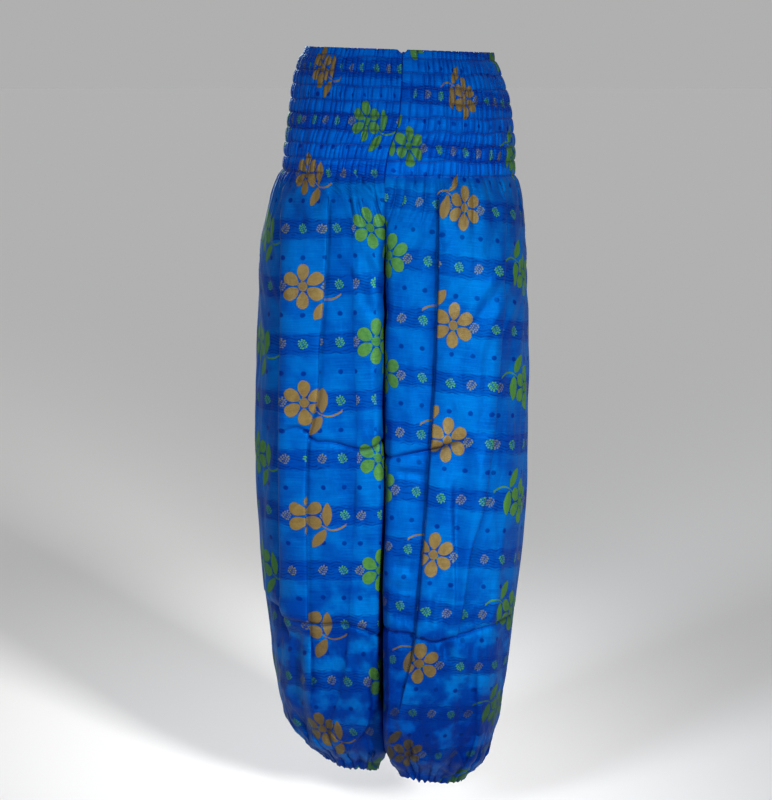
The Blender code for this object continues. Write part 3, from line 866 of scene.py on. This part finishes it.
satin = {
    "cellWidth": 0.252,  # from one tan flower to the next
    "cellHeight": 0.154,
    "greenAt": 0.110,
    "shaky": (95.0, 0.0016),  # the unsteady hand: scale and size
    "soft": 0.0005,
    "dot": 0.0033,
    "bandHalf": 0.0135,
    "wave": (0.0039, 0.021, 0.0011),  # pitch of the bands' lines, length and height of waves
    "sprayPitch": 0.0275,
    "sprayScale": 1.22,
    "sprayLean": 0.52,
    "stem": (0.0010, 0.0002, 0.0062),  # of a spray: middle, half width and half length
    "leaflets": (  # along the stem and away from it, and half length
        (-0.0052, 0.0026, 0.0015), (-0.0036, 0.0052, 0.0013), (-0.0012, 0.0026, 0.0014),
        (0.0006, 0.0056, 0.0014), (0.0022, 0.0024, 0.0013), (0.0044, 0.0050, 0.0014),
        (0.0056, 0.0016, 0.0013), (0.0078, 0.0026, 0.0013),
    ),
    "leafletHalf": 0.0013,
    "petals": 6,
    "petal": (0.0208, 0.0148, 0.0094, 0.0087),  # where it is widest, length in and out, half width
    "petalEnds": (0.0070, 0.0076, 0.0298, 0.0304),
    "squeeze": 1.13,  # flowers are narrower across
    "core": (0.0060, 0.0066),
    "ring": (0.0030, 0.0034, 0.0038, 0.0043),
    "leaves": (  # base, tip and half width
        (0.0305, 0.0155, 0.0318, -0.0180, 0.0068),
        (0.0302, 0.0195, 0.0135, 0.0450, 0.0072),
    ),
    "stalk": (0.0200, 0.040, 26),  # how high its arch is, where, how curved
    "stalkEnds": (0.0205, 0.0225, 0.0560, 0.0575),
    "lowFrom": (-0.66, -0.80),  # z where the lower legs begin
    "gatheredTo": (-0.176, -0.154),  # and where the smocking ends
    # painted light for the smocked band
    "smockPaintedLight": (1.0, 1.04, 1.34),
    "shadedTint": (0.27, 0.24, 0.68),
}
dyes = {
    "ground": rgb(0, 54, 154),
    # partly the cloth's uneven tone, partly painted sheen
    "groundLightAndSheen": rgb(0, 104, 192),
    "band": rgb(0, 45, 150),
    "ink": rgb(0, 20, 120),
    "dot": rgb(0, 22, 128),
    "tanPetal": rgb(133, 105, 45),
    "tanDeep": rgb(114, 84, 31),
    "tanLeaf": rgb(132, 104, 47),
    "tanEdge": rgb(50, 58, 86),
    "greenPetal": rgb(80, 127, 44),
    "greenDeep": rgb(57, 106, 34),
    "greenLeaf": rgb(79, 127, 44),
    "greenEdge": rgb(16, 74, 82),
    "teal": rgb(76, 148, 48),
    "sprayDeep": rgb(0, 76, 104),
    "sprayTan": rgb(117, 117, 86),
    "threadDeep": rgb(0, 18, 90),
    "thread": rgb(0, 34, 120),
}


def drawSpray(x, y):  # its drawing, and the darker patch under it
    turn, (middle, half, long) = satin["sprayLean"], satin["stem"]
    up = x * math.sin(turn) - y * math.cos(turn)
    out = abs(x * math.cos(turn) + y * math.sin(turn))
    backing = 1 - ((up - 0.0010) ** 2 * 0.55 + out ** 2).root().between(0.0040, 0.0060)
    spray = (out - half).most(abs(up + middle) - long)
    for along, away, length in satin["leaflets"]:
        way = (up - along) * 0.7 + (out - away) * 0.7
        aside = (out - away) * 0.7 - (up - along) * 0.7
        leaflet = ((way / length) ** 2 + (aside / satin["leafletHalf"]) ** 2).root() - 1
        spray = spray.least(leaflet * 0.0009)
    return 1 - spray.between(-0.0003, 0.0003), backing


def drawLeaf(x, y, baseX, baseY, tipX, tipY, half):  # how far in, where, off its vein
    length = math.hypot(tipX - baseX, tipY - baseY)
    wayX, wayY = (tipX - baseX) / length, (tipY - baseY) / length
    t = (((x - baseX) * wayX + (y - baseY) * wayY) / length).clamped()
    aside = abs((x - baseX) * wayY - (y - baseY) * wayX)
    return (t * (1 - t) * 4) ** 0.8 * half - aside, (t * (1 - t) * 30).clamped(), aside


def printedSatin():
    material, shader, start = newMaterial("printedSatin", {
        "Metallic": 0.30,
        "Specular IOR Level": 0.28,
        "Specular Tint": (0.0, 0.78, 1.0, 1.0),
    })
    place = start.node("UVMap", {"uv_map": "cut"})
    scale, size = satin["shaky"]
    shift = place.noise(scale, 1.0, 1).vectorMath("SUBTRACT", (0.5, 0.5, 0.5))
    drawn = place.vectorMath("ADD", shift.vectorMath("MULTIPLY", (size, size, size)))
    u, v = drawn.axis(0), drawn.axis(1)
    soft = satin["soft"]

    # bands, their wavy lines, and the dots and sprays that repeat across them
    width, height, half = satin["cellWidth"], satin["cellHeight"], satin["bandHalf"]
    bandPitch = height / 2
    left = width - satin["greenAt"]
    across = ((u + left) / width).fraction() * width - left
    column = (across / satin["sprayPitch"]).rounded().most(-4.0)
    acrossSpray = across - column * satin["sprayPitch"]
    downBand = v.repeated(bandPitch)
    rough = place.noise(42.0, 2.0) - 0.5
    band = 1 - abs(downBand + rough * 0.0050).between(half - 0.0022, half + 0.0014)
    broken = place.vectorMath("MULTIPLY", (36.0, 210.0, 1.0)).noise(1.0, 2.0)
    pitch, waveLength, waveHeight = satin["wave"]
    swell = (u * (2 * math.pi / waveLength) + rough * 6.0).sine() * waveHeight
    wave = ((downBand + swell + rough * 0.0064) * (2 * math.pi / pitch)).sine()
    lines = wave.between(0.05, 0.65) * broken.between(0.40, 0.54)
    lines = lines * (1 - abs(downBand).between(half - 0.001, half + 0.0045))
    midway = (v - bandPitch / 2).repeated(bandPitch)
    dot = 1 - (acrossSpray ** 2 + midway ** 2).root().between(satin["dot"] - soft, satin["dot"] + soft)
    odd = abs(column / 2 - (column / 2).rounded()) * 2
    sprayX = acrossSpray * odd.mix(-1.0, 1.0) * satin["sprayScale"]
    spray, backing = drawSpray(sprayX, downBand * satin["sprayScale"])

    # the two flowers of the repeat; the nearer one is drawn
    acrossTan, downTan = u.repeated(width), v.repeated(height)
    acrossGreen, downGreen = (u - satin["greenAt"]).repeated(width), (v - height / 2).repeated(height)
    green = (abs(acrossTan) / width + abs(downTan) / height).beyond(0.5)
    x = green.mix(acrossTan, acrossGreen)
    y = green.mix(downTan, downGreen)
    narrow = x * satin["squeeze"]
    radius = (narrow ** 2 + y ** 2).root()
    turn = narrow.turnFrom(0 - y).repeated(2 * math.pi / satin["petals"])
    reach = radius * turn.cosine()
    widest, inside, outside, petalHalf = satin["petal"]
    inner = 1 - ((widest - reach) / inside).clamped() ** 2.2
    outer = (1 - ((reach - widest) / outside).clamped() ** 2.2).root()
    petalIn = inner.least(outer) * petalHalf - abs(radius * turn.sine())
    petalSpan = reach.within(*satin["petalEnds"])
    flower = (petalIn.between(-0.0001, 0.0007) * petalSpan).most(1 - radius.between(*satin["core"]))
    rim = (petalIn.between(-0.0011, -0.0002) * petalSpan).most(1 - radius.between(0.0068, 0.0074))
    ring = radius.within(*satin["ring"])
    high, peak, curve = satin["stalk"]
    stalk = abs(y - (high - (x - peak) ** 2 * curve)) - (x - 0.030) * 0.025
    sprig = (1 - stalk.between(0.0005, 0.0012)) * x.within(*satin["stalkEnds"])
    veins = []
    for leaf in satin["leaves"]:
        leafIn, span, aside = drawLeaf(x, y, *leaf)
        sprig = sprig.most(leafIn.between(-0.0001, 0.0007) * span)
        rim = rim.most(leafIn.between(-0.0010, -0.0002) * span)
        veins.append(aside)

    # colours, one laid over another
    mottle, grain = place.noise(26.0, 4.0), place.noise(160.0, 2.0)
    slub = place.vectorMath("MULTIPLY", (26.0, 1500.0, 1.0)).noise(1.0, 1.0)
    level = start.node("TexCoord", {}, {}, 3).axis(2)
    low, gathered = level.between(*satin["lowFrom"]), level.between(*satin["gatheredTo"])
    # lighter patches are partly the cloth's uneven tone and partly painted sheen, stronger low down; the lower legs
    # are also painted darker, as painted shade
    patches = (mottle.between(0.36, 0.64) - 0.5) * low.mix(0.45, 1.15)
    tone = (0.5 + patches + (slub.between(0.40, 0.75) - 0.5) * 0.36 - low * 0.12).clamped()
    colour = tone.mixColour(dyes["ground"], dyes["groundLightAndSheen"])
    for shape, name in ((band * 0.75, "band"), (lines * 0.85, "ink"), (dot * 0.95, "dot")):
        colour = shape.mixColour(colour, dyes[name])
    # painted light: the smocked band painted lighter and bluer to offset the shade among its puffs
    colour = gathered.mixColour(colour, colour.vectorMath("MULTIPLY", satin["smockPaintedLight"]))
    deep = (grain.between(0.35, 0.75) * 0.6 + radius.between(0.020, 0.008) * 0.4).clamped()
    petalDye, deepDye, leafDye, edgeDye = (green.mixColour(dyes["tan" + part], dyes["green" + part])
                                           for part in ("Petal", "Deep", "Leaf", "Edge"))
    petalColour = deep.mixColour(petalDye, deepDye)
    leafColour = (grain * green.mix(0.5, 0.6)).mixColour(leafDye, deepDye)
    vein = (1 - veins[0].least(veins[1]).between(0.0002, 0.0007)) * 0.35
    for shape, dye in (
        (backing * odd.mix(0.45, 0.7), odd.mixColour(dyes["sprayDeep"], dyes["ink"])),
        (spray * 0.82, odd.mixColour(dyes["teal"], dyes["sprayTan"])),
        (rim * 0.55, edgeDye),
        (sprig, vein.mixColour(leafColour, deepDye)),
        (flower, (ring * 0.75).mixColour(petalColour, deepDye)),
    ):
        colour = shape.mixColour(colour, dye)
    # painted shade from the cloth's map, darkening the colour in each fold, crease and gather, towards the ankles
    # and by the gap between the legs
    paintedShade = start.node("UVMap", {"uv_map": "paintedShadeUV"}).axis(0)
    paintedShade = (paintedShade + low * 0.34 * (1 - mottle.between(0.46, 0.62))).clamped()  # and more painted shade in patches on the lower legs
    colour = paintedShade.mixColour(colour, colour.vectorMath("MULTIPLY", satin["shadedTint"]))
    colour.drives(shader, "Base Color")
    mottle.between(0.3, 0.7).mix(0.50, 0.60).drives(shader, "Roughness")

    # slubs and fine crumples in the cloth
    crumple = place.vectorMath("MULTIPLY", (38.0, 16.0, 1.0)).noise(1.0, 3.0) * low.mix(1.0, 2.2)
    bump = start.node("Bump", {}, {"Strength": 0.8, "Distance": 0.0003, "Height": slub})
    bump = start.node("Bump", {}, {"Strength": 0.9, "Distance": 0.0028, "Height": crumple,
                                             "Normal": bump})
    bump.drives(shader, "Normal")
    return material


def threadMaterial():
    material, shader, start = newMaterial("elasticThread", {"Roughness": 0.6})
    twist = start.node("TexCoord", {}, {}, 3).noise(900.0, 1.0)
    twist.mixColour(dyes["threadDeep"], dyes["thread"]).drives(shader, "Base Color")
    bump = start.node("Bump", {}, {"Strength": 0.4, "Distance": 0.0001, "Height": twist})
    bump.drives(shader, "Normal")
    return material


stitch = {
    "length": 0.0027,
    "pitch": 0.0034,
    "radius": 0.00026,
    "lift": 0.00012,
    "endsFrom": 0.4,  # of its length
    "endSize": 0.6,
}


def modelStitch():  # along X, its ends going down into the cloth
    for piece in bpy.context.selected_objects:
        piece.select_set(False)
    bpy.ops.mesh.primitive_cylinder_add(vertices=6, radius=stitch["radius"], depth=stitch["length"],
                                        rotation=(0, math.pi / 2, 0))
    made = bpy.context.object
    bpy.ops.object.transform_apply(location=True, rotation=True, scale=True)
    bpy.ops.object.mode_set(mode="EDIT")
    bpy.ops.mesh.select_all(action="SELECT")
    bpy.ops.mesh.bisect(plane_co=(0, 0, 0), plane_no=(1, 0, 0))
    bpy.ops.object.mode_set(mode="OBJECT")
    for vertex in made.data.vertices:
        if abs(vertex.co.x) > stitch["length"] * stitch["endsFrom"]:
            vertex.co.y *= stitch["endSize"]
            vertex.co.z = vertex.co.z * stitch["endSize"] - stitch["radius"]
    return made


def readLine(at, length, line):
    return np.array([np.interp(at, length, line[:, axis]) for axis in range(3)])


def addStitches(name, source, grid, facing, thread):
    corners = np.array([v.co for v in source.data.vertices])
    sourceFaces = [list(f.vertices) for f in source.data.polygons]
    vertices, faces = [], []
    for drop in (*shirring, cuff["top"]):
        ring = int(np.argmin(np.abs(grid["drops"] - drop)))
        line = grid["points"][ring]
        below = grid["points"][ring + 1] - grid["points"][ring - 1]
        length = running(np.linalg.norm(np.diff(line, axis=0), axis=1))
        count = int(length[-1] / stitch["pitch"])
        for k in range(count):
            at = (k + 0.5) * length[-1] / count
            ends = [readLine(at + s * stitch["length"] / 2, length, line) for s in (-1, 1)]
            way = ends[1] - ends[0]
            way /= np.linalg.norm(way)
            outwards = np.cross(way, readLine(at, length, below)) * facing
            outwards /= np.linalg.norm(outwards)
            middle = (ends[0] + ends[1]) / 2 + outwards * stitch["lift"]
            faces += [[len(vertices) + n for n in face] for face in sourceFaces]
            vertices += list(middle + corners @ np.stack([way, np.cross(outwards, way), outwards]))
    piece = addMesh(name, np.array(vertices), faces)
    piece.data.materials.append(thread)
    return piece


satinMaterial = printedSatin()
thread = threadMaterial()
oneStitch = modelStitch()
for values in panels:
    panel = dict(zip(panelColumns, values))
    grid = panelPoints(panel)
    piece = makeCloth(panel, grid)
    piece.data.materials.append(satinMaterial)
    sewing = addStitches(panel["name"] + "Sewing", oneStitch, grid, panel["side"] * panel["half"], thread)
    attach(piece, "root")
    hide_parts(*panel["nodes"])
    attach(sewing, "root")
    print(panel["name"], "sewn:", len(piece.data.polygons), "faces,", len(sewing.data.polygons), "in stitches")
bpy.data.objects.remove(oneStitch)

studio = {
    "floor": -1.060,
    "floorRadius": 60,
    "floorColour": (0.84, 0.84, 0.84, 1),
    "eye": (-0.0176, -3.0, 0.0),
    "pitch": math.radians(8.9435),
    "lens": 100.28,
    "frontSky": 0.12,
    "backSky": 0.50,
    "topSky": 0.62,
    "backdrop": 0.433,
    "lamps": (  # name, place, aim, size, spread in degrees, watts, colour
        ("key", (1.4, -2.6, 0.15), (-0.05, -0.1, -0.58), 0.5, 29, 6.9, (1.0, 0.99, 0.97)),
        ("fill", (-1.7, -2.4, 0.30), (0, -0.1, -0.53), 0.8, 30, 3.6, (0.88, 0.93, 1.0)),
        ("back", (-0.6, 2.6, 0.3), (0, 0, -0.5), 1.2, 40, 4.8, (1, 1, 1)),
    ),
}


def addToScene(name, data, place, turn):
    made = bpy.data.objects.new(name, data)
    made.location = place
    made.rotation_euler = turn
    bpy.context.scene.collection.objects.link(made)
    return made


def addStudio():
    scene = bpy.context.scene
    scene.view_settings.view_transform = "Standard"
    bpy.ops.mesh.primitive_circle_add(vertices=64, radius=studio["floorRadius"], fill_type="NGON",
                                      location=(0, 0, studio["floor"]))
    floor = bpy.context.object
    floor.name = "floor"
    constants = {"Base Color": studio["floorColour"], "Roughness": 0.8}
    floor.data.materials.append(newMaterial("paleFloor", constants)[0])
    for name, place, aim, size, spread, watts, colour in studio["lamps"]:
        data = bpy.data.lights.new(name, "AREA")
        data.size = size
        data.spread = math.radians(spread)
        data.energy = watts
        data.color = colour
        addToScene(name, data, place, (Vector(aim) - Vector(place)).to_track_quat("-Z", "Y").to_euler())
    world = bpy.data.worlds.new("studio")
    world.use_nodes = True
    sky = Wire(world.node_tree)
    direction = sky.node("TexCoord")
    bright = direction.axis(1).between(0.1, 0.75).mix(studio["frontSky"], studio["backSky"])
    bright = direction.axis(2).between(0.1, 0.9).mix(bright, studio["topSky"])
    bright = sky.node("LightPath").mix(bright, studio["backdrop"])
    background = world.node_tree.nodes["Background"]
    background.inputs["Color"].default_value = (1, 1, 1, 1)
    bright.drives(background, "Strength")
    scene.world = world
    data = bpy.data.cameras.new("camera")
    data.lens = studio["lens"]
    scene.camera = addToScene("camera", data, studio["eye"], (math.pi / 2 - studio["pitch"], 0, 0))


addStudio()
print("studio lit")
